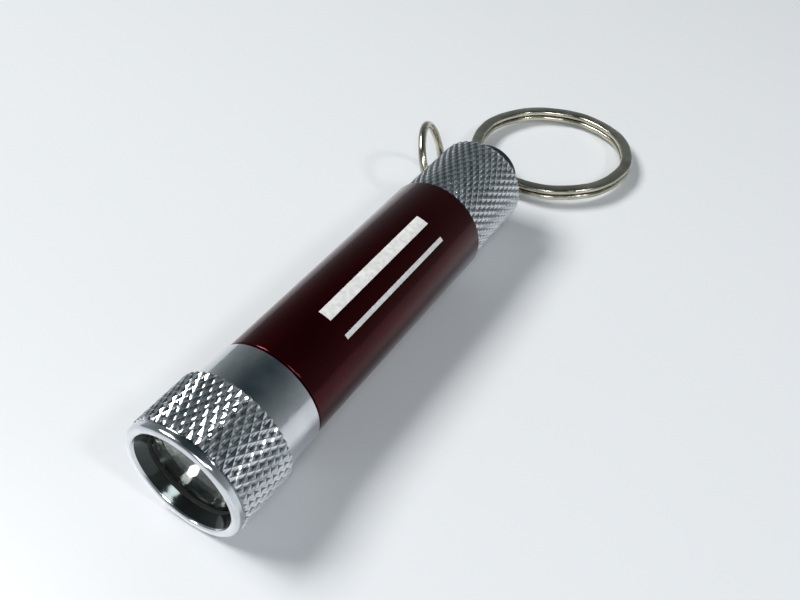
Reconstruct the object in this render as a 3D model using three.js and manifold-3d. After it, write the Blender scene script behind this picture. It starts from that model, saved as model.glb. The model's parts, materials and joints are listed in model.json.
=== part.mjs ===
// Keychain flashlight: a twist-head AAA pocket light with a push-button tail
// and a chain of three rings. Millimetres, +Z up. The light lies along X with
// the lens at the low-X end, the tail button at the high-X end.
import * as THREE from 'three';
import { mergeVertices } from 'three/addons/utils/BufferGeometryUtils.js';
import Module from 'manifold-3d';

const wasm = await Module();
wasm.setup();

// ---- driving dimensions -------------------------------------------------
const CELL_RADIUS = 5.25;
const CELL_LENGTH = 43.5;
const CELL_NUB_RADIUS = 1.9;
const CELL_NUB_LENGTH = 1.0;
const CELL_FIT = 0.2;

const TUBE_RADIUS = 7.0;
const TUBE_LENGTH = 36.0;
const NECK_WALL = 0.75;
const NECK_CHAMFER = 0.2;
const NECK_SEAT = 0.15;
const THREAD_FIT = 0.3;
const COLLAR_WALL = 0.65;
const COLLAR_LENGTH = 5.85;
const COLLAR_GAP = 0.25;

const HEAD_RADIUS = 7.9;
const HEAD_KNURL_LENGTH = 7.6;
const BEZEL_RADIUS = 7.75;
const BEZEL_LENGTH = 1.1;
const BEZEL_FLAT = 0.5;
const BEZEL_ROUND = 0.4;
const MOUTH_RADIUS = 6.6;
const LEDGE_RADIUS = 5.8;
const LEDGE_DEPTH = 1.5;

const LENS_THICKNESS = 1.2;
const LENS_RING_THICKNESS = 0.6;
const REFLECTOR_DEPTH = 3.0;
const REFLECTOR_EYE = 2.5;
const REFLECTOR_WALL = 0.5;
const INSULATOR_THICKNESS = 0.35;
const BOARD_THICKNESS = 0.6;
const LED_SIDE = 3.0;
const LED_BASE = 0.5;
const LED_DOME_RADIUS = 1.3;
const PILL_FLANGE = 1.0;
const PILL_WALL = 0.6;
const PILL_SKIRT = 2.6;
const COIL_SIDE = 2.6;
const COIL_HEIGHT = 1.0;
const CONTACT_SPRING_HEIGHT = 1.2;
const STACK_GAP = 0.08;

const CAP_RADIUS = 6.7;
const CAP_LENGTH = 12.9;
const CAP_END_WALL = 1.2;
const CAP_EDGE = 0.3;
const SPIGOT_LENGTH = 6.5;
const SPIGOT_WALL = 0.5;
const BUTTON_RADIUS = 4.1;
const BUTTON_PROUD = 3.5;
const BUTTON_ROUND = 0.9;
const BUTTON_FIT = 0.25;
const SHOULDER_THICKNESS = 0.6;
const BUTTON_TRAVEL = 1.3;
const STEM_RADIUS = 1.6;
const SWITCH_LENGTH = 2.0;
const LOCK_RING_LENGTH = 0.9;
const SEAL_SECTION = 0.8;

const EYE_RADIUS = 2.0;
const EYE_WIRE = 0.6;
const EYE_BACK = 2.1;
const EYE_RISE = 1.0;
const EYE_ANGLE = -16;
const JUMP_RADIUS = 5.6;
const JUMP_WIRE = 0.6;
const LINK_RADIUS = 2.18;
const LINK_HALF_LENGTH = 3.49;
const LINK_WIRE = 0.45;
const SPLIT_RADIUS = 12.3;
const SPLIT_WIDTH = 2.1;
const SPLIT_HEIGHT = 1.8;
const SPLIT_COIL_GAP = 0.2;
const SPLIT_START = 150;

// Each ring's way from what it hangs on, in ring radii, and the way it faces.
const JUMP_HANGS = new THREE.Vector3(0.9375, 0.45, 0.04);
const JUMP_FACES = new THREE.Vector3(0.369, -0.889, 0.272);
const LINK_HANGS = new THREE.Vector3(0.5900, -0.2537, -0.3238);
const LINK_FACES = new THREE.Vector3(0.531, 0.519, 0.67);
const LINK_ALONG = new THREE.Vector3(0.701, -0.713, -0.003);
const SPLIT_HANGS = new THREE.Vector3(0.6472, -0.5049, -0.0197);
const SPLIT_FACES = new THREE.Vector3(0.035, 0, 1);

// smoothness
const ROUND_STEPS = 48;
const FINE_STEPS = 32;
const WIRE_SIDES = 8;

// ---- sizes that follow ----------------------------------------------------
const boreRadius = CELL_RADIUS + CELL_FIT;
const neckRadius = boreRadius + NECK_WALL;
const headBore = neckRadius + THREAD_FIT;
const collarRadius = headBore + COLLAR_WALL;
const collarEnd = -COLLAR_GAP;
const knurlEnd = collarEnd - COLLAR_LENGTH;
const knurlStart = knurlEnd - HEAD_KNURL_LENGTH;
const bezelFront = knurlStart - BEZEL_LENGTH;
const ledgeBack = bezelFront + LEDGE_DEPTH;
const opticRadius = headBore - THREAD_FIT / 2;

const lensRingStart = ledgeBack + STACK_GAP;
const lensStart = lensRingStart + LENS_RING_THICKNESS + STACK_GAP;
const reflectorStart = lensStart + LENS_THICKNESS + STACK_GAP;
const reflectorEnd = reflectorStart + REFLECTOR_DEPTH;
const insulatorStart = reflectorEnd + STACK_GAP;
const ledBoardStart = insulatorStart + INSULATOR_THICKNESS + STACK_GAP;
const flangeStart = ledBoardStart + BOARD_THICKNESS + STACK_GAP;
const flangeEnd = flangeStart + PILL_FLANGE;
const neckFront = flangeEnd + NECK_SEAT;
const skirtEnd = flangeEnd + PILL_SKIRT;
const driverStart = flangeEnd + COIL_HEIGHT + 2 * STACK_GAP;
const driverEnd = driverStart + BOARD_THICKNESS;

const capEnd = TUBE_LENGTH + CAP_LENGTH;
const spigotRadius = boreRadius + SPIGOT_WALL;
const tubeRearBore = spigotRadius + THREAD_FIT;
const spigotStart = TUBE_LENGTH - SPIGOT_LENGTH;
const wallInner = capEnd - CAP_END_WALL;
const shoulderRadius = boreRadius - BUTTON_FIT;
const shoulderEnd = wallInner - STACK_GAP;
const shoulderStart = shoulderEnd - SHOULDER_THICKNESS;
const switchEnd = shoulderStart - BUTTON_TRAVEL - 0.1;
const switchStart = switchEnd - SWITCH_LENGTH;
const lockRingEnd = switchStart - STACK_GAP;
const lockRingStart = lockRingEnd - LOCK_RING_LENGTH;

const springLead = 0.1;
const cellFront = driverEnd + CONTACT_SPRING_HEIGHT;
const cellBodyStart = cellFront + CELL_NUB_LENGTH;
const cellBack = cellBodyStart + CELL_LENGTH;

// ---- materials --------------------------------------------------------------
function material(color, roughness, metalness) {
  return new THREE.MeshStandardMaterial({ color, roughness, metalness });
}
const chrome = material(0xc6cbd1, 0.12, 1.0);
const anodised = material(0x5a0f16, 0.25, 0.8);
const nickel = material(0xa8aa98, 0.25, 1.0);
const blackPlastic = material(0x15171a, 0.45, 0.0);
const rubber = material(0x1b1b1b, 0.8, 0.0);
const clearLens = material(0xdfe8ee, 0.05, 0.0);
const mirror = material(0xe4e6e8, 0.05, 1.0);
const phosphor = material(0xf2d24a, 0.3, 0.0);
const circuit = material(0x1d5a38, 0.5, 0.1);
const brass = material(0xb08a4a, 0.35, 1.0);
const ferrite = material(0x3a3b3d, 0.6, 0.2);
const springSteel = material(0xb9bcbf, 0.3, 1.0);
const cellWrap = material(0x2c5c8c, 0.4, 0.3);
const copper = material(0xb87040, 0.3, 1.0);

// ---- shape helpers ----------------------------------------------------------
// Turns a closed outline of [x, radius] points around the X axis.
function turned(outline, steps = ROUND_STEPS) {
  let area = 0;
  outline.forEach(([x, r], i) => {
    const [nextX, nextR] = outline[(i + 1) % outline.length];
    area += r * nextX - nextR * x;
  });
  const ordered = area > 0 ? outline : [...outline].reverse();
  const points = ordered.map(([x, r]) => new THREE.Vector2(r, x));
  points.push(points[0].clone());
  return new THREE.LatheGeometry(points, steps).rotateZ(-Math.PI / 2);
}

// A solid disc or plug on the axis.
function plug(start, end, radius, steps = ROUND_STEPS) {
  const points = [[0, start], [radius, start], [radius, end], [0, end]];
  const profile = points.map(([r, x]) => new THREE.Vector2(r, x));
  return new THREE.LatheGeometry(profile, steps).rotateZ(-Math.PI / 2);
}

// A plain washer or sleeve.
function sleeve(start, end, inner, outer, steps = ROUND_STEPS) {
  return turned([[start, inner], [start, outer], [end, outer], [end, inner]], steps);
}

// A rubber ring with a rounded section between two radii.
function seal(middle, width, inner, outer) {
  const half = width / 2;
  const bevel = Math.min(half, (outer - inner) / 2) / 2;
  return turned([
    [middle - half + bevel, inner], [middle - half, inner + bevel],
    [middle - half, outer - bevel], [middle - half + bevel, outer],
    [middle + half - bevel, outer], [middle + half, outer - bevel],
    [middle + half, inner + bevel], [middle + half - bevel, inner],
  ], FINE_STEPS);
}

function block(x0, y0, z0, x1, y1, z1) {
  const box = new THREE.BoxGeometry(x1 - x0, y1 - y0, z1 - z0);
  return box.translate((x0 + x1) / 2, (y0 + y1) / 2, (z0 + z1) / 2);
}

// Quaternion that turns +Z to face along a direction.
function facing(direction) {
  const from = new THREE.Vector3(0, 0, 1);
  return new THREE.Quaternion().setFromUnitVectors(from, direction.clone().normalize());
}

// A closed ring of round wire.
function wireRing(radius, wire, steps, centre, faces) {
  const ring = new THREE.TorusGeometry(radius, wire, WIRE_SIDES, steps);
  return ring.applyQuaternion(facing(faces)).translate(centre.x, centre.y, centre.z);
}

// A wire ring stretched into an oval link, its straight sides along a direction.
function ovalLink(radius, halfLength, wire, centre, faces, along) {
  const link = new THREE.TorusGeometry(radius, wire, WIRE_SIDES, 24);
  const place = link.attributes.position;
  for (let i = 0; i < place.count; i += 1) {
    const x = place.getX(i);
    const onMiddle = Math.abs(x) < 1e-4;
    place.setX(i, onMiddle ? halfLength : x + Math.sign(x) * halfLength);
  }
  const xAxis = along.clone().normalize();
  const zAxis = faces.clone().addScaledVector(xAxis, -faces.dot(xAxis)).normalize();
  const yAxis = zAxis.clone().cross(xAxis);
  const turn = new THREE.Matrix4().makeBasis(xAxis, yAxis, zAxis).setPosition(centre);
  return link.applyMatrix4(turn);
}

// A coil spring of round wire around X, its radius changing evenly.
function coil(start, end, startRadius, endRadius, turns, wire) {
  const points = [];
  const perTurn = 12;
  for (let i = 0; i <= turns * perTurn; i += 1) {
    const t = i / (turns * perTurn);
    const angle = t * turns * 2 * Math.PI;
    const radius = startRadius + (endRadius - startRadius) * t;
    const x = start + wire + (end - start - 2 * wire) * t;
    points.push(new THREE.Vector3(x, radius * Math.cos(angle), radius * Math.sin(angle)));
  }
  const path = new THREE.CatmullRomCurve3(points);
  const section = new THREE.Shape();
  const sides = 6;
  for (let i = 0; i < sides; i += 1) {
    const angle = (i / sides) * 2 * Math.PI;
    const x = wire * Math.cos(angle);
    const y = wire * Math.sin(angle);
    if (i === 0) section.moveTo(x, y);
    else section.lineTo(x, y);
  }
  section.closePath();
  const steps = turns * perTurn;
  return new THREE.ExtrudeGeometry(section, { steps, extrudePath: path, bevelEnabled: false });
}

// ---- joining ------------------------------------------------------------------
function toSolid(geometry) {
  const bare = geometry.clone();
  bare.deleteAttribute('normal');
  bare.deleteAttribute('uv');
  const merged = mergeVertices(bare, 1e-4);
  return new wasm.Manifold(new wasm.Mesh({
    numProp: 3,
    vertProperties: new Float32Array(merged.attributes.position.array),
    triVerts: new Uint32Array(merged.index.array),
  }));
}

function toGeometry(solid) {
  const mesh = solid.getMesh();
  const geometry = new THREE.BufferGeometry();
  geometry.setAttribute('position', new THREE.BufferAttribute(mesh.vertProperties, 3));
  geometry.setIndex(new THREE.BufferAttribute(mesh.triVerts, 1));
  geometry.computeVertexNormals();
  return geometry;
}

// ---- the object ---------------------------------------------------------------
const model = new THREE.Group();

function add(name, geometry, look) {
  const mesh = new THREE.Mesh(geometry, look);
  mesh.name = name;
  model.add(mesh);
}

// Barrel: red tube, reduced neck for the head, counterbore for the tail cap.
const neckGroove = -1.6;
const sealGrooveDepth = 0.3;
add('body_tube', turned([
  [neckFront, boreRadius], [neckFront, neckRadius - NECK_CHAMFER],
  [neckFront + NECK_CHAMFER, neckRadius],
  [neckGroove - SEAL_SECTION / 2 - 0.1, neckRadius],
  [neckGroove - SEAL_SECTION / 2 - 0.1, neckRadius - sealGrooveDepth],
  [neckGroove + SEAL_SECTION / 2 + 0.1, neckRadius - sealGrooveDepth],
  [neckGroove + SEAL_SECTION / 2 + 0.1, neckRadius],
  [0, neckRadius], [0, TUBE_RADIUS - 0.15], [0.15, TUBE_RADIUS],
  [TUBE_LENGTH - 0.15, TUBE_RADIUS], [TUBE_LENGTH, TUBE_RADIUS - 0.15],
  [TUBE_LENGTH, tubeRearBore], [spigotStart - 0.5, tubeRearBore],
  [spigotStart - 0.5, boreRadius],
]), anodised);
add('tube_front_o_ring', seal(neckGroove, SEAL_SECTION,
  neckRadius - sealGrooveDepth + 0.05, headBore - 0.05), rubber);
const cellOutline = [
  [cellFront, 0], [cellFront, CELL_NUB_RADIUS], [cellBodyStart, CELL_NUB_RADIUS],
  [cellBodyStart, CELL_RADIUS - 0.3], [cellBodyStart + 0.3, CELL_RADIUS],
  [cellBack - 0.3, CELL_RADIUS], [cellBack, CELL_RADIUS - 0.3], [cellBack, 0],
];
add('battery_cell', new THREE.LatheGeometry(
  cellOutline.map(([x, r]) => new THREE.Vector2(r, x)), FINE_STEPS,
).rotateZ(-Math.PI / 2), cellWrap);

// Head: knurled shell with a rounded bezel in front and a plain collar behind.
add('head_shell', turned([
  [bezelFront + LEDGE_DEPTH / 2, (MOUTH_RADIUS + LEDGE_RADIUS) / 2 + 0.1],
  [bezelFront + BEZEL_ROUND / 2, MOUTH_RADIUS],
  [bezelFront, MOUTH_RADIUS + BEZEL_ROUND / 2],
  [bezelFront, MOUTH_RADIUS + BEZEL_ROUND / 2 + BEZEL_FLAT],
  [bezelFront + BEZEL_ROUND / 3, BEZEL_RADIUS - BEZEL_ROUND / 3],
  [bezelFront + BEZEL_ROUND, BEZEL_RADIUS],
  [knurlStart, BEZEL_RADIUS], [knurlStart, HEAD_RADIUS],
  [knurlEnd, HEAD_RADIUS], [knurlEnd, collarRadius],
  [collarEnd, collarRadius], [collarEnd, headBore],
  [ledgeBack, headBore], [ledgeBack, LEDGE_RADIUS],
]), chrome);
add('lens_o_ring', seal(lensRingStart + LENS_RING_THICKNESS / 2, LENS_RING_THICKNESS,
  LEDGE_RADIUS, opticRadius), rubber);
add('lens', plug(lensStart, lensStart + LENS_THICKNESS, opticRadius), clearLens);

// Reflector: a shallow parabola whose eye clears the emitter.
const reflectorInner = [];
const reflectorSteps = 5;
for (let i = 0; i <= reflectorSteps; i += 1) {
  const t = i / reflectorSteps;
  const radius = REFLECTOR_EYE + (opticRadius - REFLECTOR_WALL - REFLECTOR_EYE) * Math.sqrt(t);
  reflectorInner.push([reflectorEnd + (reflectorStart - reflectorEnd) * t, radius]);
}
add('reflector', turned([
  ...reflectorInner,
  [reflectorStart, opticRadius], [reflectorStart + 0.8, opticRadius],
  [reflectorEnd, opticRadius - 0.6],
]), mirror);

// Light engine: insulator, LED board, emitter, pill, driver and contact spring.
add('reflector_insulator', sleeve(insulatorStart, insulatorStart + INSULATOR_THICKNESS,
  REFLECTOR_EYE, opticRadius - 0.7, FINE_STEPS), blackPlastic);
add('led_board', plug(ledBoardStart, ledBoardStart + BOARD_THICKNESS,
  opticRadius - 0.7, FINE_STEPS), circuit);
const ledBack = ledBoardStart - STACK_GAP;
const ledFront = ledBack - LED_BASE;
const domeSteps = 5;
const dome = [new THREE.Vector2(0, ledFront + 0.1), new THREE.Vector2(LED_DOME_RADIUS, ledFront + 0.1)];
for (let i = 0; i <= domeSteps; i += 1) {
  const angle = (i / domeSteps) * Math.PI / 2;
  const radius = i === domeSteps ? 0 : LED_DOME_RADIUS * Math.cos(angle);
  dome.push(new THREE.Vector2(radius, ledFront - LED_DOME_RADIUS * Math.sin(angle)));
}
const domeSolid = toSolid(new THREE.LatheGeometry(dome.reverse(), 20).rotateZ(-Math.PI / 2));
const ledHalf = LED_SIDE / 2;
const ledBase = toSolid(block(ledFront, -ledHalf, -ledHalf, ledBack, ledHalf, ledHalf));
add('led_emitter', toGeometry(ledBase.add(domeSolid)), phosphor);
const pillSkirt = boreRadius - 0.25;
add('pill', turned([
  [flangeStart, 0], [flangeStart, neckRadius], [flangeEnd, neckRadius],
  [flangeEnd, pillSkirt], [skirtEnd, pillSkirt],
  [skirtEnd, pillSkirt - PILL_WALL], [flangeEnd - 0.2, pillSkirt - PILL_WALL],
  [flangeEnd - 0.2, 0],
]), brass);
add('driver_board', plug(driverStart, driverEnd,
  pillSkirt - PILL_WALL - 0.15, FINE_STEPS), circuit);
const coilStart = driverStart - STACK_GAP - COIL_HEIGHT;
add('driver_inductor', block(coilStart, 0.3, -COIL_SIDE / 2,
  coilStart + COIL_HEIGHT, 0.3 + COIL_SIDE, COIL_SIDE / 2), ferrite);
add('positive_spring', coil(driverEnd + springLead, cellFront - springLead,
  2.6, 1.3, 2, 0.18), springSteel);

// Tail cap: spigot inside the tube, knurled body, end wall and a welded eye.
const capOutline = [
  [spigotStart, boreRadius], [spigotStart, spigotRadius],
  [TUBE_LENGTH + COLLAR_GAP, spigotRadius], [TUBE_LENGTH + COLLAR_GAP, CAP_RADIUS],
  [capEnd - CAP_EDGE, CAP_RADIUS], [capEnd, CAP_RADIUS - CAP_EDGE],
  [capEnd, BUTTON_RADIUS + BUTTON_FIT], [wallInner, BUTTON_RADIUS + BUTTON_FIT],
  [wallInner, boreRadius],
];
const eyeTurn = THREE.MathUtils.degToRad(EYE_ANGLE);
const eyeOut = new THREE.Vector3(0, Math.cos(eyeTurn), Math.sin(eyeTurn));
const eyeAround = new THREE.Vector3(0, -Math.sin(eyeTurn), Math.cos(eyeTurn));
const eyeCentre = eyeOut.clone().multiplyScalar(CAP_RADIUS + EYE_RISE).setX(capEnd - EYE_BACK);
const eyeSolid = toSolid(wireRing(EYE_RADIUS, EYE_WIRE, 16, eyeCentre, eyeAround));
const eyeTrim = toSolid(sleeve(capEnd - EYE_BACK - 2 * EYE_RADIUS, capEnd,
  CAP_RADIUS - 0.5, CAP_RADIUS + EYE_RISE + 2 * EYE_RADIUS));
const capBody = toSolid(turned(capOutline));
add('tail_cap', toGeometry(capBody.add(eyeSolid.intersect(eyeTrim))), chrome);
const capGroove = TUBE_LENGTH - 1.2;
add('tail_o_ring', seal(capGroove, SEAL_SECTION, spigotRadius + 0.03, tubeRearBore - 0.03), rubber);

// Switch: lock ring, switch body with its bore, return spring, plunger, button.
const switchBore = STEM_RADIUS + 0.9;
add('switch_lock_ring', sleeve(lockRingStart, lockRingEnd, 2.8, boreRadius - 0.1, FINE_STEPS), brass);
add('switch_body', sleeve(switchStart, switchEnd, switchBore, boreRadius - 0.1), blackPlastic);
add('return_spring', coil(switchStart + 0.1, shoulderStart - BUTTON_TRAVEL - 0.2,
  STEM_RADIUS + 0.45, STEM_RADIUS + 0.45, 3, 0.15), springSteel);
add('switch_plunger', plug(switchStart + BUTTON_TRAVEL, shoulderStart - STACK_GAP,
  STEM_RADIUS - 0.2, 20), copper);
const buttonEnd = capEnd + BUTTON_PROUD;
const buttonEdge = [];
const edgeSteps = 4;
for (let i = 0; i <= edgeSteps; i += 1) {
  const angle = (i / edgeSteps) * Math.PI / 2;
  buttonEdge.push([
    buttonEnd - BUTTON_ROUND + BUTTON_ROUND * Math.sin(angle),
    BUTTON_RADIUS - BUTTON_ROUND + BUTTON_ROUND * Math.cos(angle),
  ]);
}
const buttonOutline = [
  [shoulderStart, 0], [shoulderStart, shoulderRadius], [shoulderEnd, shoulderRadius],
  [shoulderEnd, BUTTON_RADIUS], ...buttonEdge, [buttonEnd + 0.15, 0],
];
add('push_button', new THREE.LatheGeometry(
  buttonOutline.map(([x, r]) => new THREE.Vector2(r, x)), ROUND_STEPS,
).rotateZ(-Math.PI / 2), blackPlastic);
add('battery_spring', coil(cellBack + springLead, lockRingStart - springLead,
  3.6, 2.6, 2, 0.2), springSteel);

// Rings: a jump ring through the eye, an oval link, then the split ring.
function hang(from, way, reach) {
  return from.clone().addScaledVector(way, reach);
}
const jumpCentre = hang(eyeCentre, JUMP_HANGS, JUMP_RADIUS);
const linkReach = LINK_RADIUS + LINK_HALF_LENGTH;
const linkCentre = hang(jumpCentre, LINK_HANGS, JUMP_RADIUS + linkReach);
const splitCentre = hang(linkCentre, SPLIT_HANGS, linkReach + SPLIT_RADIUS);
add('jump_ring', wireRing(JUMP_RADIUS, JUMP_WIRE, 28, jumpCentre, JUMP_FACES), nickel);
add('link_ring', ovalLink(LINK_RADIUS, LINK_HALF_LENGTH, LINK_WIRE,
  linkCentre, LINK_FACES, LINK_ALONG), nickel);

// Split ring: one flat strip wound round twice with a fine gap between the coils.
function splitRing() {
  const strip = (SPLIT_HEIGHT - SPLIT_COIL_GAP) / 2;
  const turns = 2 - 1 / 12;
  const steps = 84;
  const corners = [];
  for (let i = 0; i <= steps; i += 1) {
    const angle = (i / steps) * turns * 2 * Math.PI;
    const along = Math.min(1, Math.max(0, (angle / (2 * Math.PI) - 0.86) / 0.24));
    const lift = -SPLIT_HEIGHT / 2 + (strip + SPLIT_COIL_GAP) * along;
    for (const [side, up] of [[-1, 0], [1, 0], [1, strip], [-1, strip]]) {
      const radius = SPLIT_RADIUS + side * SPLIT_WIDTH / 2;
      const place = angle + THREE.MathUtils.degToRad(SPLIT_START);
      corners.push(radius * Math.cos(place), radius * Math.sin(place), lift + up);
    }
  }
  const faces = [0, 1, 2, 0, 2, 3];
  for (let i = 0; i < steps; i += 1) {
    for (let k = 0; k < 4; k += 1) {
      const a = i * 4 + k;
      const b = i * 4 + ((k + 1) % 4);
      faces.push(a, a + 4, b, b, a + 4, b + 4);
    }
  }
  const last = steps * 4;
  faces.push(last, last + 2, last + 1, last, last + 3, last + 2);
  const geometry = new THREE.BufferGeometry();
  geometry.setAttribute('position', new THREE.Float32BufferAttribute(corners, 3));
  geometry.setIndex(faces);
  geometry.computeVertexNormals();
  return geometry;
}
add('split_ring', splitRing().applyQuaternion(facing(SPLIT_FACES))
  .translate(splitCentre.x, splitCentre.y, splitCentre.z), nickel);

// The origin is the middle of the footprint, on the surface the light lies on.
const bounds = new THREE.Box3().setFromObject(model, true);
const middle = bounds.getCenter(new THREE.Vector3());
model.children.forEach((mesh) => {
  mesh.geometry.translate(-middle.x, -middle.y, -bounds.min.z);
});

export default model;
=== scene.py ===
"""Keychain flashlight: knurled chrome ends, a red tube, a push-button tail and a chain of rings."""
import json
import math

import bpy
from mathutils import Matrix, Vector


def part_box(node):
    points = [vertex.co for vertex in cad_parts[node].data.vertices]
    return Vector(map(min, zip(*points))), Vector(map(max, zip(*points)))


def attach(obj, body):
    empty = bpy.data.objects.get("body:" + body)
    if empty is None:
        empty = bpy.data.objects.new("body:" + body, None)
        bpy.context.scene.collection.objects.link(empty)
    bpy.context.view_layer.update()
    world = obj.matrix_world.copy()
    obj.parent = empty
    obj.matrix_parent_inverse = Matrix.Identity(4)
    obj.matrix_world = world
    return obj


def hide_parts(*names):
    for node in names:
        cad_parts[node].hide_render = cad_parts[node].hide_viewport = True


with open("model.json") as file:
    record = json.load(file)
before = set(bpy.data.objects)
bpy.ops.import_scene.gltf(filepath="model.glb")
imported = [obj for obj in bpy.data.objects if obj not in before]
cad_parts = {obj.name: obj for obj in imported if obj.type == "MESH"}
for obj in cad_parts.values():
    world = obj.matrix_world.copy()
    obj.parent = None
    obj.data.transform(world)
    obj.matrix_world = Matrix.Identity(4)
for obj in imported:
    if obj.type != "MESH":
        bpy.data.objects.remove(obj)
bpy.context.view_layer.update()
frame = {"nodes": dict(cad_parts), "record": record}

bl_info = {
    "name": "Keychain flashlight",
    "version": (1, 0, 0),
    "blender": (4, 5, 0),
    "location": "View3D > Sidebar > Flashlight",
    "description": "Builds the visible pieces, finishes and studio of a keychain flashlight",
    "category": "Object",
}

MM = 0.001
TUBE_LO, TUBE_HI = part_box("body_tube")
HEAD_LO, HEAD_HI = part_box("head_shell")
CAP_LO, CAP_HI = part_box("tail_cap")
AXIS = Vector((0, (TUBE_LO.y + TUBE_HI.y) / 2, (TUBE_LO.z + TUBE_HI.z) / 2))
JOINTS = {j["name"]: j for j in frame["record"]["behaviour"]["joints"]}

# Grid steps from one knurl pit to the next, both ways.
PIT_STEPS = 4
# How far a pit's walls sink, as a share of the pit's depth.
WALL_SHARE = 0.28
# Points closer than this are one point.
WELD = 0.001 * MM
# Sides of a bent wire's section.
WIRE_SIDES = 16
# Edges that bend more than this many degrees stay crisp.
TURNED_EDGE = 32
KNURL_EDGE = 17
BOWL_EDGE = 25
MOULDED_EDGE = 40
WIRE_EDGE = 45


# ---- sizes and colours --------------------------------------------------------

class FlashlightSizes(bpy.types.PropertyGroup):
    """Sizes of the turned pieces, in metres."""

    tube_length: bpy.props.FloatProperty(
        name="Tube length", description="Length of red tube that shows",
        default=36.0 * MM, unit="LENGTH")
    collar_length: bpy.props.FloatProperty(
        name="Collar length", description="Plain collar behind the head knurl",
        default=5.85 * MM, unit="LENGTH")
    collar_radius: bpy.props.FloatProperty(
        name="Collar radius", description="Outer radius of the plain collar",
        default=7.15 * MM, unit="LENGTH")
    head_knurl: bpy.props.FloatProperty(
        name="Head knurl length", description="Length of the head's knurled band",
        default=7.6 * MM, unit="LENGTH")
    bezel_radius: bpy.props.FloatProperty(
        name="Bezel radius", description="Outer radius of the bezel",
        default=7.75 * MM, unit="LENGTH")
    mouth_radius: bpy.props.FloatProperty(
        name="Mouth radius", description="Radius of the opening in the bezel",
        default=6.6 * MM, unit="LENGTH")
    knurl_depth: bpy.props.FloatProperty(
        name="Knurl depth", description="Depth of the knurl's pits",
        default=0.32 * MM, unit="LENGTH")
    head_diamonds: bpy.props.IntProperty(
        name="Head diamonds", description="Knurl diamonds round the head", default=46)
    head_rows: bpy.props.IntProperty(
        name="Head rows", description="Knurl rows along the head", default=4)
    cap_diamonds: bpy.props.IntProperty(
        name="Cap diamonds", description="Knurl diamonds round the tail cap", default=40)
    cap_rows: bpy.props.IntProperty(
        name="Cap rows", description="Knurl rows along the tail cap", default=7)
    link_radius: bpy.props.FloatProperty(
        name="Link radius", description="Radius of the oval link's ends, to the wire's middle",
        default=2.18 * MM, unit="LENGTH")
    link_half: bpy.props.FloatProperty(
        name="Link half length", description="Half the length of the oval link's straight sides",
        default=3.49 * MM, unit="LENGTH")
    link_wire: bpy.props.FloatProperty(
        name="Link wire", description="Radius of the oval link's wire",
        default=0.45 * MM, unit="LENGTH")
    link_along: bpy.props.FloatVectorProperty(
        name="Link direction", description="Way the oval link's straight sides run",
        default=(0.701, -0.713, -0.003), subtype="DIRECTION")
    link_faces: bpy.props.FloatVectorProperty(
        name="Link facing", description="Way the oval link's flat side faces",
        default=(0.531, 0.519, 0.67), subtype="DIRECTION")
    split_start: bpy.props.FloatProperty(
        name="Split ring start", description="Turn at which the split ring's strip starts",
        default=math.radians(150), subtype="ANGLE")
    ring_gap: bpy.props.FloatProperty(
        name="Ring gap", description="Gap where a bent wire ring closes",
        default=0.25 * MM, unit="LENGTH")


class FlashlightColours(bpy.types.PropertyGroup):
    """Base colours of the finishes."""

    tube: bpy.props.FloatVectorProperty(
        name="Tube", description="Anodised red of the tube", subtype="COLOR", size=3,
        default=(0.055, 0.0018, 0.0035))
    chrome: bpy.props.FloatVectorProperty(
        name="Chrome", description="Plated head and tail", subtype="COLOR", size=3,
        default=(0.74, 0.76, 0.79))
    nickel: bpy.props.FloatVectorProperty(
        name="Nickel", description="Plated rings", subtype="COLOR", size=3,
        default=(0.68, 0.64, 0.52))
    button: bpy.props.FloatVectorProperty(
        name="Button", description="Hard plastic of the button", subtype="COLOR", size=3,
        default=(0.012, 0.018, 0.02))
    floor: bpy.props.FloatVectorProperty(
        name="Floor", description="Pale floor", subtype="COLOR", size=3,
        default=(0.76, 0.78, 0.8))


def sizes():
    return bpy.context.scene.flashlight_sizes


def colours():
    return bpy.context.scene.flashlight_colours


# ---- finishes -------------------------------------------------------------------

def finish(name, colour, roughness, metallic=0.0, **inputs):
    """A Principled material whose steady values sit on the shader's own sockets."""
    mat = bpy.data.materials.get(name)
    if mat:
        return mat
    mat = bpy.data.materials.new(name)
    mat.use_nodes = True
    shader = mat.node_tree.nodes["Principled BSDF"]
    shader.inputs["Base Color"].default_value = (*colour, 1)
    shader.inputs["Roughness"].default_value = roughness
    shader.inputs["Metallic"].default_value = metallic
    for key, value in inputs.items():
        shader.inputs[key.replace("_", " ")].default_value = value
    mat.diffuse_color = (*colour, 1)
    return mat


def object_noise(mat, scale, stretch=(1, 1, 1), detail=4.0):
    """Noise that stays on the piece, in noise cells per metre."""
    tree = mat.node_tree
    place = tree.nodes.new("ShaderNodeTexCoord")
    mapping = tree.nodes.new("ShaderNodeMapping")
    mapping.inputs["Scale"].default_value = stretch
    noise = tree.nodes.new("ShaderNodeTexNoise")
    noise.inputs["Scale"].default_value = scale
    noise.inputs["Detail"].default_value = detail
    tree.links.new(place.outputs["Object"], mapping.inputs["Vector"])
    tree.links.new(mapping.outputs["Vector"], noise.inputs["Vector"])
    return noise


def spread(mat, noise, socket, low, high):
    """Lets a noise move a number between two values."""
    tree = mat.node_tree
    rng = tree.nodes.new("ShaderNodeMapRange")
    rng.inputs["From Min"].default_value = 0.3
    rng.inputs["From Max"].default_value = 0.7
    rng.inputs["To Min"].default_value = low
    rng.inputs["To Max"].default_value = high
    tree.links.new(noise.outputs["Fac"], rng.inputs["Value"])
    tree.links.new(rng.outputs["Result"], tree.nodes["Principled BSDF"].inputs[socket])


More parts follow.
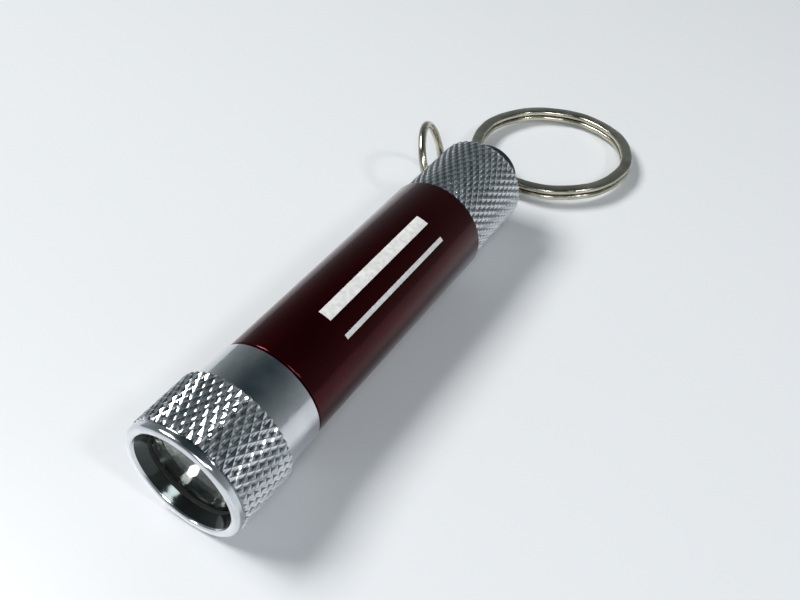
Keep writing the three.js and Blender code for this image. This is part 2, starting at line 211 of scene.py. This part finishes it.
def tint(mat, noise, first, second):
    """Lets a noise mix two colours."""
    tree = mat.node_tree
    ramp = tree.nodes.new("ShaderNodeValToRGB")
    ramp.color_ramp.elements[0].position = 0.35
    ramp.color_ramp.elements[0].color = (*first, 1)
    ramp.color_ramp.elements[1].position = 0.68
    ramp.color_ramp.elements[1].color = (*second, 1)
    tree.links.new(noise.outputs["Fac"], ramp.inputs["Fac"])
    tree.links.new(ramp.outputs["Color"], tree.nodes["Principled BSDF"].inputs["Base Color"])


def relief(mat, noise, strength, height):
    """Fine bump from a noise, height in metres."""
    tree = mat.node_tree
    bump = tree.nodes.new("ShaderNodeBump")
    bump.inputs["Strength"].default_value = strength
    bump.inputs["Distance"].default_value = height
    tree.links.new(noise.outputs["Fac"], bump.inputs["Height"])
    tree.links.new(bump.outputs["Normal"], tree.nodes["Principled BSDF"].inputs["Normal"])


def shaded(colour, factor):
    return tuple(c * factor for c in colour)


def chrome():
    """Bright plating with handling marks and faint turning lines."""
    base = tuple(colours().chrome)
    mat = finish("chrome_plate", base, 0.1, 1.0)
    if len(mat.node_tree.nodes) == 2:
        marks = object_noise(mat, 420, (1, 1, 1), 6)
        spread(mat, marks, "Roughness", 0.06, 0.2)
        tint(mat, marks, shaded(base, 0.86), base)
        relief(mat, object_noise(mat, 900, (6, 1, 1), 3), 0.12, 0.02 * MM)
    return mat


def anodised():
    """Glossy dark red anodising over fine turning grain."""
    base = tuple(colours().tube)
    mat = finish("red_anodise", base, 0.14, 0.85, Coat_Weight=0.12, Coat_Roughness=0.05)
    if len(mat.node_tree.nodes) == 2:
        grain = object_noise(mat, 700, (4, 1, 1), 5)
        spread(mat, grain, "Roughness", 0.1, 0.2)
        tint(mat, object_noise(mat, 160, (1, 1, 1), 4), shaded(base, 0.75), base)
        relief(mat, grain, 0.06, 0.01 * MM)
    return mat


def nickel():
    """Warm worn nickel plating with shallow dents."""
    base = tuple(colours().nickel)
    mat = finish("worn_nickel", base, 0.18, 1.0)
    if len(mat.node_tree.nodes) == 2:
        wear = object_noise(mat, 500, (1, 1, 1), 6)
        spread(mat, wear, "Roughness", 0.1, 0.32)
        tint(mat, object_noise(mat, 220), shaded(base, 0.6), base)
        relief(mat, object_noise(mat, 480, (1, 1, 1), 2), 0.35, 0.1 * MM)
    return mat


def speckled(name, colour, roughness, metallic=0.0, scale=900):
    """A moulded, printed or drawn surface with a fine grain."""
    mat = finish(name, colour, roughness, metallic)
    if len(mat.node_tree.nodes) == 2:
        grain = object_noise(mat, scale, (1, 1, 1), 5)
        spread(mat, grain, "Roughness", roughness * 0.8, min(1, roughness * 1.3))
        tint(mat, grain, shaded(colour, 0.8), colour)
        relief(mat, grain, 0.2, 0.03 * MM)
    return mat


def button_plastic():
    return speckled("button_plastic", tuple(colours().button), 0.32, 0.0, 1400)


def lens_plastic():
    """Clear lens: mostly see-through, with a glossy skin."""
    return finish("clear_lens", (0.96, 0.98, 1.0), 0.02, 0.0,
                  Transmission_Weight=1.0, IOR=1.45, Alpha=0.3)


def mirror_painted_shade():
    """Reflector mirror, dimmed grey as painted shade of the deep mouth, with a faint ripple."""
    # Painted shade: the grey base colour darkens the bright mirror to the shade seen deep in the
    # mouth.
    mat = finish("mirror_painted_shade", (0.42, 0.44, 0.4), 0.05, 1.0)
    if len(mat.node_tree.nodes) == 2:
        relief(mat, object_noise(mat, 900, (1, 1, 1), 2), 0.15, 0.05 * MM)
    return mat


# ---- shaping --------------------------------------------------------------------

def deselect_all():
    if bpy.context.object and bpy.context.object.mode != "OBJECT":
        bpy.ops.object.mode_set(mode="OBJECT")
    bpy.ops.object.select_all(action="DESELECT")


def turn_piece(name, outline, around, close=True):
    """Extrudes a circle through the outline's (x, radius) stations, as a lathe would cut it.

    A closed outline ends where it starts. An open one starts and ends on the axis.
    """
    deselect_all()
    capped = not close
    stations = outline if close else [p for p in outline if p[1] > 0]
    x, radius = stations[0]
    bpy.ops.mesh.primitive_circle_add(
        vertices=around, radius=radius, location=(x, AXIS.y, AXIS.z),
        rotation=(0, math.pi / 2, 0), fill_type="TRIFAN" if capped else "NOTHING")
    piece = bpy.context.object
    piece.name = name
    bpy.ops.object.transform_apply(location=True, rotation=True, scale=True)
    bpy.ops.object.mode_set(mode="EDIT")
    bpy.ops.mesh.select_mode(type="VERT")
    bpy.ops.mesh.select_all(action="SELECT")
    if capped:
        select_points(piece, lambda p: radius_of(p) > radius / 2)
    for next_x, next_radius in stations[1:]:
        bpy.ops.mesh.extrude_edges_move(TRANSFORM_OT_translate={"value": (next_x - x, 0, 0)})
        k = next_radius / radius
        bpy.ops.transform.resize(value=(1, k, k), center_override=(next_x, AXIS.y, AXIS.z))
        x, radius = next_x, next_radius
    if capped:
        bpy.ops.mesh.edge_face_add()
        bpy.ops.mesh.poke()
    bpy.ops.mesh.select_all(action="SELECT")
    bpy.ops.mesh.remove_doubles(threshold=WELD)
    bpy.ops.mesh.normals_make_consistent(inside=False)
    bpy.ops.object.mode_set(mode="OBJECT")
    return piece


def select_points(piece, wanted):
    """Selects a piece's vertices by place, in edit mode."""
    bpy.ops.object.mode_set(mode="OBJECT")
    for part in (piece.data.polygons, piece.data.edges):
        for item in part:
            item.select = False
    for point in piece.data.vertices:
        point.select = bool(wanted(point.co))
    bpy.ops.object.mode_set(mode="EDIT")
    bpy.ops.mesh.select_mode(type="VERT")


def radius_of(point):
    return math.hypot(point.y - AXIS.y, point.z - AXIS.z)


def cut_knurl(piece, start, end, radius, diamonds, rows, depth):
    """Sinks a lattice of long diamond pits into a fine band, leaving crossing ridges between."""
    step_x = (end - start) / (PIT_STEPS * rows)
    step_turn = 2 * math.pi / (PIT_STEPS * diamonds)
    slack = step_x / 4
    floor = radius - 1.1 * depth

    def on_band(point):
        return start - slack < point.x < end + slack and radius_of(point) > floor

    def steps_from_pit(point):
        """Grid steps to the nearest pit's middle: 0 in the pit, 1 on its walls, 2 on a ridge."""
        turn = math.atan2(point.z - AXIS.z, point.y - AXIS.y)
        column = round(turn / step_turn) % PIT_STEPS
        row = round((point.x - start) / step_x) % PIT_STEPS
        near = min(column, PIT_STEPS - column) + min(row, PIT_STEPS - row)
        return min(near, PIT_STEPS - near)

    for level, share in ((0, 1.0), (1, WALL_SHARE)):
        select_points(piece, lambda p: on_band(p) and steps_from_pit(p) == level)
        k = (radius - share * depth) / radius
        bpy.ops.transform.resize(value=(1, k, k), center_override=(start, AXIS.y, AXIS.z))
    select_points(piece, on_band)
    bpy.ops.mesh.quads_convert_to_tris(quad_method="LONGEST_DIAGONAL")
    bpy.ops.object.mode_set(mode="OBJECT")


def rounded(piece, angle=TURNED_EDGE):
    """Shades a piece smooth, except across its crisp edges."""
    bpy.ops.object.select_all(action="DESELECT")
    piece.select_set(True)
    bpy.context.view_layer.objects.active = piece
    bpy.ops.object.shade_smooth_by_angle(angle=math.radians(angle))


def dress(piece, mat, body, slot, *nodes):
    """Gives a piece its finish, hangs it on its body and hides the CAD parts it stands for."""
    piece.data.materials.clear()
    piece.data.materials.append(mat)
    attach(piece, body)
    if nodes:
        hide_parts(*nodes)


def arc(x, radius, size, start, end, steps=6):
    """Stations on a rounded edge: centre at (x, radius), angles in degrees from +X."""
    points = []
    for i in range(steps + 1):
        a = math.radians(start + (end - start) * i / steps)
        points.append((x + size * math.cos(a), radius + size * math.sin(a)))
    return points


def knurl_band(start, end, radius, rows):
    """Stations of the plain band that a knurl is cut into."""
    steps = PIT_STEPS * rows
    return [(start + (end - start) * i / steps, radius) for i in range(steps + 1)]


# ---- pieces ---------------------------------------------------------------------

class FLASHLIGHT_OT_head(bpy.types.Operator):
    """Turns the head: rounded bezel, diamond knurl and plain collar"""

    bl_idname = "flashlight.head"
    bl_label = "Head"

    def execute(self, context):
        s = sizes()
        front, back = HEAD_LO.x, HEAD_HI.x
        radius = (HEAD_HI.z - HEAD_LO.z) / 2
        knurl_end = back - s.collar_length
        knurl_start = knurl_end - s.head_knurl
        bore = 6.5 * MM
        ledge = 5.8 * MM
        ledge_depth = 1.5 * MM
        cone = 6.25 * MM
        lip = 0.45 * MM
        groove = 0.12 * MM
        chamfer = 0.12 * MM
        inner_edge = 0.1 * MM
        outline = [
            (front + ledge_depth, ledge),
            (front + ledge_depth / 2, cone),
            (front + 0.3 * MM, s.mouth_radius),
            (front + inner_edge, s.mouth_radius + 0.08 * MM),
            (front, s.mouth_radius + 0.25 * MM),
            *arc(front + lip, s.bezel_radius - lip, lip, 180, 90),
            (knurl_start - 2 * groove, s.bezel_radius),
            (knurl_start - groove, s.bezel_radius - 2.5 * groove),
            (knurl_start - groove / 2, s.bezel_radius - 2.5 * groove),
            *knurl_band(knurl_start, knurl_end, radius, s.head_rows),
            (knurl_end + 0.05 * MM, s.collar_radius + inner_edge),
            (knurl_end + chamfer, s.collar_radius),
            (back - chamfer, s.collar_radius),
            (back, s.collar_radius - chamfer),
            (back, bore + 0.05 * MM),
            (back - inner_edge, bore),
            (front + ledge_depth, bore),
            (front + ledge_depth, ledge),
        ]
        piece = turn_piece("head_turned", outline, PIT_STEPS * s.head_diamonds)
        cut_knurl(piece, knurl_start, knurl_end, radius, s.head_diamonds, s.head_rows,
                  s.knurl_depth)
        rounded(piece, KNURL_EDGE)
        dress(piece, chrome(), "head", "chrome", "head_shell")
        # Painted shade: the mouth's inner faces get a near-black finish that stands in for the
        # shade and dark reflection deep inside the mouth.
        piece.data.materials.append(speckled("bore_painted_shade", (0.05, 0.058, 0.056), 0.12, 0.9, 900))
        for face in piece.data.polygons:
            inside = radius_of(face.center) < s.mouth_radius + 0.03 * MM
            if inside and face.center.x > front + inner_edge:
                face.material_index = 1
        return {"FINISHED"}


class FLASHLIGHT_OT_optics(bpy.types.Operator):
    """Makes the lens, the reflector and the emitter's dome"""

    bl_idname = "flashlight.optics"
    bl_label = "Lens, reflector and emitter"

    def execute(self, context):
        lo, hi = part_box("lens")
        radius = (hi.z - lo.z) / 2
        edge = 0.12 * MM
        lens = turn_piece("lens_clear", [
            (lo.x, 0), (lo.x, radius - edge), (lo.x + edge, radius),
            (hi.x - edge, radius), (hi.x, radius - edge), (hi.x, 0)], 96, close=False)
        rounded(lens)
        dress(lens, lens_plastic(), "head", "lens", "lens")

        lo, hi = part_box("reflector")
        radius = (hi.z - lo.z) / 2
        eye = 2.5 * MM
        rim = 0.5 * MM
        rim_length = 0.8 * MM
        taper = 0.6 * MM
        bowl = []
        steps = 14
        for i in range(steps + 1):
            t = i / steps
            bowl.append((hi.x + (lo.x - hi.x) * t, eye + (radius - rim - eye) * math.sqrt(t)))
        reflector = turn_piece("reflector_bowl", [
            *bowl, (lo.x, radius), (lo.x + rim_length, radius), (hi.x, radius - taper),
            bowl[0]], 96)
        rounded(reflector, BOWL_EDGE)
        dress(reflector, mirror_painted_shade(), "head", "mirror", "reflector")

        lo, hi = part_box("led_emitter")
        centre = Vector((0, (lo.y + hi.y) / 2, (lo.z + hi.z) / 2))
        base = hi.x - 0.5 * MM
        deselect_all()
        bpy.ops.mesh.primitive_uv_sphere_add(
            segments=32, ring_count=16, radius=base - lo.x,
            location=(base, centre.y, centre.z), rotation=(0, math.pi / 2, 0))
        dome = bpy.context.object
        dome.name = "led_dome"
        bpy.ops.object.transform_apply(location=True, rotation=True, scale=True)
        bpy.ops.object.mode_set(mode="EDIT")
        bpy.ops.mesh.select_all(action="SELECT")
        bpy.ops.mesh.bisect(plane_co=(base, 0, 0), plane_no=(1, 0, 0),
                            clear_outer=True, use_fill=True)
        bpy.ops.object.mode_set(mode="OBJECT")
        rounded(dome)
        amber = finish("emitter_dome", (0.98, 0.8, 0.2), 0.08, 0.0,
                       Coat_Weight=1.0, Coat_Roughness=0.02)
        dress(dome, amber, "light_engine", "phosphor", "led_emitter")

        deselect_all()
        bpy.ops.mesh.primitive_cube_add(
            size=1, location=((base + hi.x) / 2, centre.y, centre.z),
            scale=(hi.x - base, hi.y - lo.y, hi.z - lo.z))
        package = bpy.context.object
        package.name = "led_package"
        bpy.ops.object.transform_apply(location=True, rotation=True, scale=True)
        bpy.ops.object.mode_set(mode="EDIT")
        bpy.ops.mesh.select_all(action="SELECT")
        bpy.ops.mesh.bevel(offset=0.08 * MM, segments=2, affect="EDGES")
        bpy.ops.object.mode_set(mode="OBJECT")
        rounded(package)
        ceramic = speckled("ceramic_package", (0.8, 0.8, 0.76), 0.5)
        dress(package, ceramic, "light_engine", "phosphor")
        return {"FINISHED"}


class FLASHLIGHT_OT_tube(bpy.types.Operator):
    """Turns the smooth red tube with its neck and counterbore"""

    bl_idname = "flashlight.tube"
    bl_label = "Tube"

    def execute(self, context):
        s = sizes()
        front, rear = TUBE_LO.x, TUBE_HI.x
        radius = (TUBE_HI.z - TUBE_LO.z) / 2
        shoulder = rear - s.tube_length
        bore = 5.45 * MM
        neck = 6.2 * MM
        counterbore = 6.25 * MM
        counterbore_depth = 7 * MM
        edge = 0.18 * MM
        outline = [
            (front, bore), (front, neck - edge), (front + edge, neck),
            (shoulder, neck),
            *arc(shoulder + edge, radius - edge, edge, 180, 90, 4),
            *arc(rear - edge, radius - edge, edge, 90, 0, 4),
            (rear, counterbore), (rear - counterbore_depth, counterbore),
            (rear - counterbore_depth, bore), (front, bore),
        ]
        piece = turn_piece("tube_red", outline, 128)
        rounded(piece)
        dress(piece, anodised(), "barrel", "anodised_red", "body_tube")
        ink = speckled("white_ink", (0.82, 0.82, 0.8), 0.5, 0.0, 1600)
        start = shoulder + 8 * MM
        end = shoulder + 29 * MM
        for name, low, high in (("printed_band_wide", 101, 116),
                                ("printed_band_narrow", 134, 139)):
            band = self.print_band(piece, name, start, end, low, high)
            dress(band, ink, "barrel", "anodised_red")
        return {"FINISHED"}

    def print_band(self, tube, name, start, end, low, high):
        """Copies the tube's skin between two stations and two angles in degrees, and lifts it."""
        lift = 0.012 * MM
        thickness = 0.015 * MM
        deselect_all()
        tube.select_set(True)
        bpy.context.view_layer.objects.active = tube
        bpy.ops.object.duplicate()
        band = bpy.context.object
        band.name = name
        band.data.name = name
        outer = (TUBE_HI.z - TUBE_LO.z) / 2
        low, high = math.radians(low), math.radians(high)
        select_points(band, lambda p: radius_of(p) < outer - 0.01 * MM)
        bpy.ops.mesh.delete(type="VERT")
        for place, facing in (
            (Vector((start, 0, 0)), Vector((-1, 0, 0))),
            (Vector((end, 0, 0)), Vector((1, 0, 0))),
            (AXIS, Vector((0, math.sin(low), -math.cos(low)))),
            (AXIS, Vector((0, -math.sin(high), math.cos(high)))),
        ):
            bpy.ops.mesh.select_all(action="SELECT")
            bpy.ops.mesh.bisect(plane_co=place, plane_no=facing, clear_outer=True)
        bpy.ops.mesh.select_all(action="SELECT")
        k = (outer + lift) / outer
        bpy.ops.transform.resize(value=(1, k, k), center_override=(start, AXIS.y, AXIS.z))
        bpy.ops.mesh.extrude_region_shrink_fatten(
            TRANSFORM_OT_shrink_fatten={"value": thickness})
        bpy.ops.mesh.select_all(action="SELECT")
        bpy.ops.mesh.normals_make_consistent(inside=False)
        bpy.ops.object.mode_set(mode="OBJECT")
        rounded(band)
        return band


class FLASHLIGHT_OT_tail(bpy.types.Operator):
    """Turns the knurled tail cap, welds on its eye and fits the push button"""

    bl_idname = "flashlight.tail"
    bl_label = "Tail cap and button"

    def execute(self, context):
        s = sizes()
        rear = CAP_HI.x
        radius = (CAP_HI.z - CAP_LO.z) / 2
        spigot = 5.95 * MM
        bore = 5.45 * MM
        hole = 4.42 * MM
        knurl_start = TUBE_HI.x + 0.3 * MM
        edge = 0.35 * MM
        relief_cut = 0.05 * MM
        chamfer = 0.12 * MM
        end_wall = 1.2 * MM
        knurl_end = rear - edge
        outline = [
            (CAP_LO.x, bore), (CAP_LO.x, spigot), (knurl_start - relief_cut, spigot),
            (knurl_start - relief_cut, radius - s.knurl_depth),
            *knurl_band(knurl_start, knurl_end, radius, s.cap_rows),
            (rear - chamfer, radius - 0.32 * MM), (rear, radius - 0.5 * MM),
            (rear, hole + chamfer), (rear - chamfer, hole), (rear - end_wall, hole),
            (rear - end_wall, bore), (CAP_LO.x, bore),
        ]
        cap = turn_piece("tail_turned", outline, PIT_STEPS * s.cap_diamonds)
        cut_knurl(cap, knurl_start, knurl_end, radius, s.cap_diamonds, s.cap_rows,
                  s.knurl_depth * 0.9)
        rounded(cap, KNURL_EDGE)
        dress(cap, chrome(), "tail_cap", "chrome", "tail_cap")

        eye_back = 2.1 * MM
        eye_rise = 1.0 * MM
        eye_radius = 2.0 * MM
        eye_wire = 0.6 * MM
        turn = math.radians(-16)
        out = Vector((0, math.cos(turn), math.sin(turn)))
        across = Vector((0, -math.sin(turn), math.cos(turn)))
        centre = Vector((rear - eye_back, AXIS.y, AXIS.z)) + out * (radius + eye_rise)
        eye = wire_ring("tail_eye", centre, across, eye_radius, eye_wire, 0, 40)
        dress(eye, chrome(), "tail_cap", "chrome")

        lo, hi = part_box("push_button")
        face = 4.24 * MM
        soft = 0.35 * MM
        crown = 0.15 * MM
        flange = 0.6 * MM
        shoulder = (hi.z - lo.z) / 2
        top = hi.x - crown
        button = turn_piece("button_moulded", [
            (lo.x, 0), (lo.x, shoulder), (lo.x + flange, shoulder), (lo.x + flange, face),
            *arc(top - soft, face - soft, soft, 90, 0, 8),
            (top + crown * 0.6, face * 0.45), (hi.x, face * 0.15), (hi.x, 0)], 96, close=False)
        rounded(button, MOULDED_EDGE)
        dress(button, button_plastic(), "button", "black_plastic", "push_button")
        return {"FINISHED"}


def wire_ring(name, centre, faces, radius, wire, gap, steps):
    """Spins a round wire section about a ring's axis, leaving a gap where its ends meet."""
    faces = faces.normalized()
    side = faces.orthogonal().normalized()
    deselect_all()
    start = centre + side * radius
    travel = faces.cross(side)
    turned = travel.to_track_quat("Z", "Y").to_euler()
    bpy.ops.mesh.primitive_circle_add(
        vertices=WIRE_SIDES, radius=wire, location=start, rotation=turned,
        fill_type="NGON" if gap else "NOTHING")
    ring = bpy.context.object
    ring.name = name
    bpy.ops.object.transform_apply(location=True, rotation=True, scale=True)
    bpy.ops.object.mode_set(mode="EDIT")
    bpy.ops.mesh.select_all(action="SELECT")
    angle = 2 * math.pi - gap / radius
    bpy.ops.mesh.spin(steps=steps, angle=angle, center=centre, axis=faces)
    bpy.ops.mesh.select_all(action="SELECT")
    bpy.ops.mesh.remove_doubles(threshold=0.005 * MM)
    bpy.ops.mesh.normals_make_consistent(inside=False)
    bpy.ops.object.mode_set(mode="OBJECT")
    rounded(ring, WIRE_EDGE)
    return ring


def ring_place(node, joint):
    """A wire ring's centre, facing and radius, from its box and the joint on its centreline."""
    lo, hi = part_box(node)
    centre = (lo + hi) / 2
    pivot = Vector(JOINTS[joint]["pos_m"])
    along = Vector(JOINTS[joint]["axis"])
    return centre, (pivot - centre).cross(along), (pivot - centre).length


class FLASHLIGHT_OT_rings(bpy.types.Operator):
    """Bends the jump ring and the link ring, and winds the flat split ring"""

    bl_idname = "flashlight.rings"
    bl_label = "Rings"

    def execute(self, context):
        centre, facing, radius = ring_place("jump_ring", "jump_ring_swing")
        wire = 0.6 * MM
        ring = wire_ring("jump_ring_bent", centre, facing, radius, wire, sizes().ring_gap, 120)
        dress(ring, nickel(), "jump_ring", "nickel", "jump_ring")
        self.bend_link()
        self.wind_split_ring()
        return {"FINISHED"}

    def bend_link(self):
        """Bends the oval link: a wire ring whose two halves are drawn apart."""
        s = sizes()
        lo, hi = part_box("link_ring")
        centre = (lo + hi) / 2
        along = Vector(s.link_along).normalized()
        faces = Vector(s.link_faces)
        faces = (faces - along * faces.dot(along)).normalized()
        link = wire_ring("link_bent", Vector((0, 0, 0)), Vector((0, 0, 1)), s.link_radius,
                         s.link_wire, 0, 64)
        select_points(link, lambda p: p.x > 0.01 * MM)
        bpy.ops.transform.translate(value=(s.link_half, 0, 0))
        select_points(link, lambda p: p.x < 0.01 * MM)
        bpy.ops.transform.translate(value=(-s.link_half, 0, 0))
        bpy.ops.object.mode_set(mode="OBJECT")
        turn_to = Matrix((along, faces.cross(along), faces)).transposed().to_4x4()
        link.data.transform(Matrix.Translation(centre) @ turn_to)
        dress(link, nickel(), "link_ring", "nickel", "link_ring")

    def wind_split_ring(self):
        """Winds a flat strip nearly twice round, stepping up where it crosses itself."""
        joint = JOINTS["split_ring_turn"]
        centre = Vector(joint["pos_m"])
        up = Vector(joint["axis"]).normalized()
        lo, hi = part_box("split_ring")
        width = 2.1 * MM
        height = 1.8 * MM
        gap = 0.2 * MM
        strip = (height - gap) / 2
        radius = (hi.y - lo.y) / 2 - width / 2
        turn_to = Vector((0, 0, 1)).rotation_difference(up).to_matrix().to_4x4()
        curve = bpy.data.curves.new("split_ring_wound", "CURVE")
        curve.dimensions = "3D"
        curve.twist_mode = "Z_UP"
        spline = curve.splines.new("POLY")
        turns = 2 - 1 / 12
        steps = 240
        step_start = 0.86
        step_span = 0.24
        long_waver = 0.05 * MM
        short_waver = 0.02 * MM
        spline.points.add(steps)
        for i in range(steps + 1):
            angle = i / steps * turns * 2 * math.pi
            rise = min(1, max(0, (angle / (2 * math.pi) - step_start) / step_span))
            rise = rise * rise * (3 - 2 * rise)
            z = -height / 2 + strip / 2 + (strip + gap) * rise
            waver = long_waver * math.sin(9 * angle) + short_waver * math.sin(21 * angle + 1)
            place = angle + sizes().split_start
            spline.points[i].co = ((radius + waver) * math.cos(place),
                                   (radius + waver) * math.sin(place), z, 1)
        section = bpy.data.curves.new("split_ring_section", "CURVE")
        section.dimensions = "2D"
        outline = section.splines.new("POLY")
        soft = 0.3 * MM
        trim = 0.16 * MM
        w = width / 2 - trim
        h = strip / 2
        corners = []
        for sx, sy, first in ((1, 1, 0), (-1, 1, 90), (-1, -1, 180), (1, -1, 270)):
            for i in range(4):
                a = math.radians(first + i * 30)
                corners.append((sx * (w - soft) + soft * math.cos(a),
                                sy * (h - soft) + soft * math.sin(a)))
        outline.points.add(len(corners) - 1)
        for point, (x, y) in zip(outline.points, corners):
            point.co = (x, y, 0, 1)
        outline.use_cyclic_u = True
        section_object = bpy.data.objects.new("split_ring_section", section)
        bpy.context.scene.collection.objects.link(section_object)
        curve.bevel_mode = "OBJECT"
        curve.bevel_object = section_object
        curve.use_fill_caps = True
        ring = bpy.data.objects.new("split_ring_wound", curve)
        bpy.context.scene.collection.objects.link(ring)
        deselect_all()
        ring.select_set(True)
        bpy.context.view_layer.objects.active = ring
        bpy.ops.object.convert(target="MESH")
        ring = bpy.context.object
        ring.data.transform(Matrix.Translation(centre) @ turn_to)
        bpy.data.objects.remove(section_object)
        bpy.ops.object.mode_set(mode="EDIT")
        bpy.ops.mesh.select_all(action="SELECT")
        bpy.ops.mesh.remove_doubles(threshold=WELD)
        bpy.ops.mesh.normals_make_consistent(inside=False)
        bpy.ops.object.mode_set(mode="OBJECT")
        rounded(ring, WIRE_EDGE)
        dress(ring, nickel(), "split_ring", "nickel", "split_ring")


class FLASHLIGHT_OT_inside(bpy.types.Operator):
    """Gives the pieces inside their finishes"""

    bl_idname = "flashlight.inside"
    bl_label = "Inner pieces"

    def execute(self, context):
        looks = {
            "rubber": speckled("seal_rubber", (0.02, 0.02, 0.02), 0.7),
            "cell_wrap": speckled("cell_sleeve", (0.06, 0.16, 0.32), 0.35, 0.2, 300),
            "black_plastic": speckled("moulded_black", (0.02, 0.02, 0.022), 0.5),
            "circuit": speckled("solder_mask", (0.02, 0.12, 0.05), 0.4, 0.0, 600),
            "brass": speckled("turned_brass", (0.6, 0.4, 0.14), 0.3, 1.0, 500),
            "ferrite": speckled("fired_ferrite", (0.05, 0.05, 0.055), 0.6),
            "spring_steel": speckled("drawn_steel", (0.55, 0.56, 0.58), 0.28, 1.0, 1200),
            "copper": speckled("plated_copper", (0.7, 0.35, 0.18), 0.3, 1.0, 800),
        }
        slots = {p["node"]: p["material_slot"] for p in frame["record"]["subparts"]}
        for node, piece in frame["nodes"].items():
            if slots[node] in looks:
                piece.data.materials.clear()
                piece.data.materials.append(looks[slots[node]])
        return {"FINISHED"}


# ---- stage ------------------------------------------------------------------------

class FLASHLIGHT_OT_stage(bpy.types.Operator):
    """Lays the pale floor, hangs the soft lights and sets the camera"""

    bl_idname = "flashlight.stage"
    bl_label = "Stage"

    def execute(self, context):
        deselect_all()
        bpy.ops.mesh.primitive_plane_add(size=6, location=(0, 0, 0))
        floor = bpy.context.object
        floor.name = "floor"
        paint = finish("pale_floor", tuple(colours().floor), 0.35, 0.0)
        relief(paint, object_noise(paint, 60), 0.03, 0.1 * MM)
        floor.data.materials.append(paint)

        front = Vector((TUBE_HI.x - sizes().tube_length, AXIS.y, AXIS.z))
        eye = front + Vector((-48.0, -48.1, 75.6)) * MM
        gaze = Vector((0.61833, 0.39587, -0.67894))
        cam = bpy.data.cameras.new("camera")
        cam.sensor_width = 36
        cam.lens = 39.87
        cam.clip_start = 0.005
        camera = bpy.data.objects.new("camera", cam)
        camera.location = eye
        camera.rotation_mode = "QUATERNION"
        camera.rotation_quaternion = gaze.to_track_quat("-Z", "Y")
        context.scene.collection.objects.link(camera)
        context.scene.camera = camera

        for name, place, size, power, tone in (
            ("key", (-0.15, 0.5, 0.7), (0.4, 0.3), 6.8, (1.0, 0.99, 0.98)),
            ("fill", (-0.6, -0.3, 0.5), (0.22, 0.22), 2.3, (0.95, 0.97, 1.0)),
            ("edge", (-0.1, -0.6, 0.6), (0.1, 0.1), 1.2, (0.97, 0.98, 1.0)),
        ):
            lamp = bpy.data.lights.new(name, "AREA")
            lamp.shape = "RECTANGLE"
            lamp.size, lamp.size_y = size
            lamp.energy = power
            lamp.color = tone
            light = bpy.data.objects.new(name, lamp)
            light.location = place
            light.rotation_mode = "QUATERNION"
            light.rotation_quaternion = (-Vector(place)).to_track_quat("-Z", "Y")
            context.scene.collection.objects.link(light)

        world = bpy.data.worlds.new("studio")
        world.use_nodes = True
        context.scene.world = world
        tree = world.node_tree
        sky = tree.nodes["Background"]
        sky.inputs["Strength"].default_value = 1.0
        place = tree.nodes.new("ShaderNodeTexCoord")
        split = tree.nodes.new("ShaderNodeSeparateXYZ")
        ramp = tree.nodes.new("ShaderNodeValToRGB")
        ramp.color_ramp.elements[0].position = 0.0
        ramp.color_ramp.elements[0].color = (0.3, 0.33, 0.34, 1)
        ramp.color_ramp.elements[1].position = 0.9
        ramp.color_ramp.elements[1].color = (0.03, 0.045, 0.05, 1)
        tree.links.new(place.outputs["Generated"], split.inputs["Vector"])
        tree.links.new(split.outputs["Z"], ramp.inputs["Fac"])
        tree.links.new(ramp.outputs["Color"], sky.inputs["Color"])
        context.scene.view_settings.view_transform = "Standard"
        return {"FINISHED"}


class FLASHLIGHT_PT_panel(bpy.types.Panel):
    """Lists the pieces of the flashlight"""

    bl_label = "Keychain flashlight"
    bl_idname = "FLASHLIGHT_PT_panel"
    bl_space_type = "VIEW_3D"
    bl_region_type = "UI"
    bl_category = "Flashlight"

    def draw(self, context):
        for operator in OPERATORS:
            self.layout.operator(operator.bl_idname)


OPERATORS = (
    FLASHLIGHT_OT_head,
    FLASHLIGHT_OT_optics,
    FLASHLIGHT_OT_tube,
    FLASHLIGHT_OT_tail,
    FLASHLIGHT_OT_rings,
    FLASHLIGHT_OT_inside,
    FLASHLIGHT_OT_stage,
)
CLASSES = (FlashlightSizes, FlashlightColours, *OPERATORS, FLASHLIGHT_PT_panel)


def register():
    for cls in CLASSES:
        bpy.utils.register_class(cls)
    bpy.types.Scene.flashlight_sizes = bpy.props.PointerProperty(type=FlashlightSizes)
    bpy.types.Scene.flashlight_colours = bpy.props.PointerProperty(type=FlashlightColours)


def unregister():
    del bpy.types.Scene.flashlight_colours
    del bpy.types.Scene.flashlight_sizes
    for cls in reversed(CLASSES):
        bpy.utils.unregister_class(cls)


def main():
    register()
    bpy.ops.flashlight.head()
    bpy.ops.flashlight.optics()
    bpy.ops.flashlight.tube()
    bpy.ops.flashlight.tail()
    bpy.ops.flashlight.rings()
    bpy.ops.flashlight.inside()
    bpy.ops.flashlight.stage()


if __name__ == "__main__":
    main()
